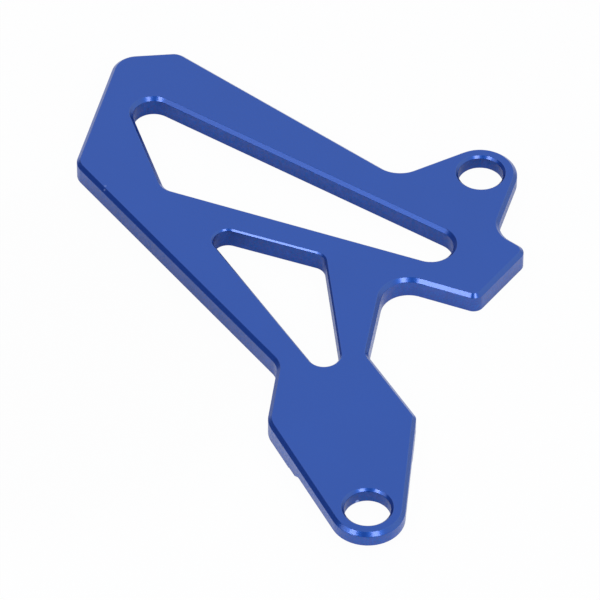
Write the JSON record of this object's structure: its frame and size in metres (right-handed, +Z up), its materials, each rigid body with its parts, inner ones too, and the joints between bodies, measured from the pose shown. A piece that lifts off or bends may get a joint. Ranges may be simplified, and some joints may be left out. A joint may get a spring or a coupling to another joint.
{
  "type": "motorcycle sprocket cover",
  "caption": "Flat machined aluminium cover plate with a tapered slot, a triangular window, chamfered edges and a round bolt lug at each end, relieved underneath.",
  "frame": {"origin": "middle of the plate's bounding box, on its underside", "axes": "+Z up through the thickness to the chamfered outer face, +Y along the length from the front bolt lug towards the rear end, +X to the side of the rear bolt lug"},
  "size_m": [0.1188, 0.1804, 0.006],
  "materials": {
    "blue_anodised": "satin blue anodised, with finely milled walls and chamfers"
  },
  "bodies": {
    "root": {"cover_plate": "blue_anodised"}
  },
  "joints": []
}
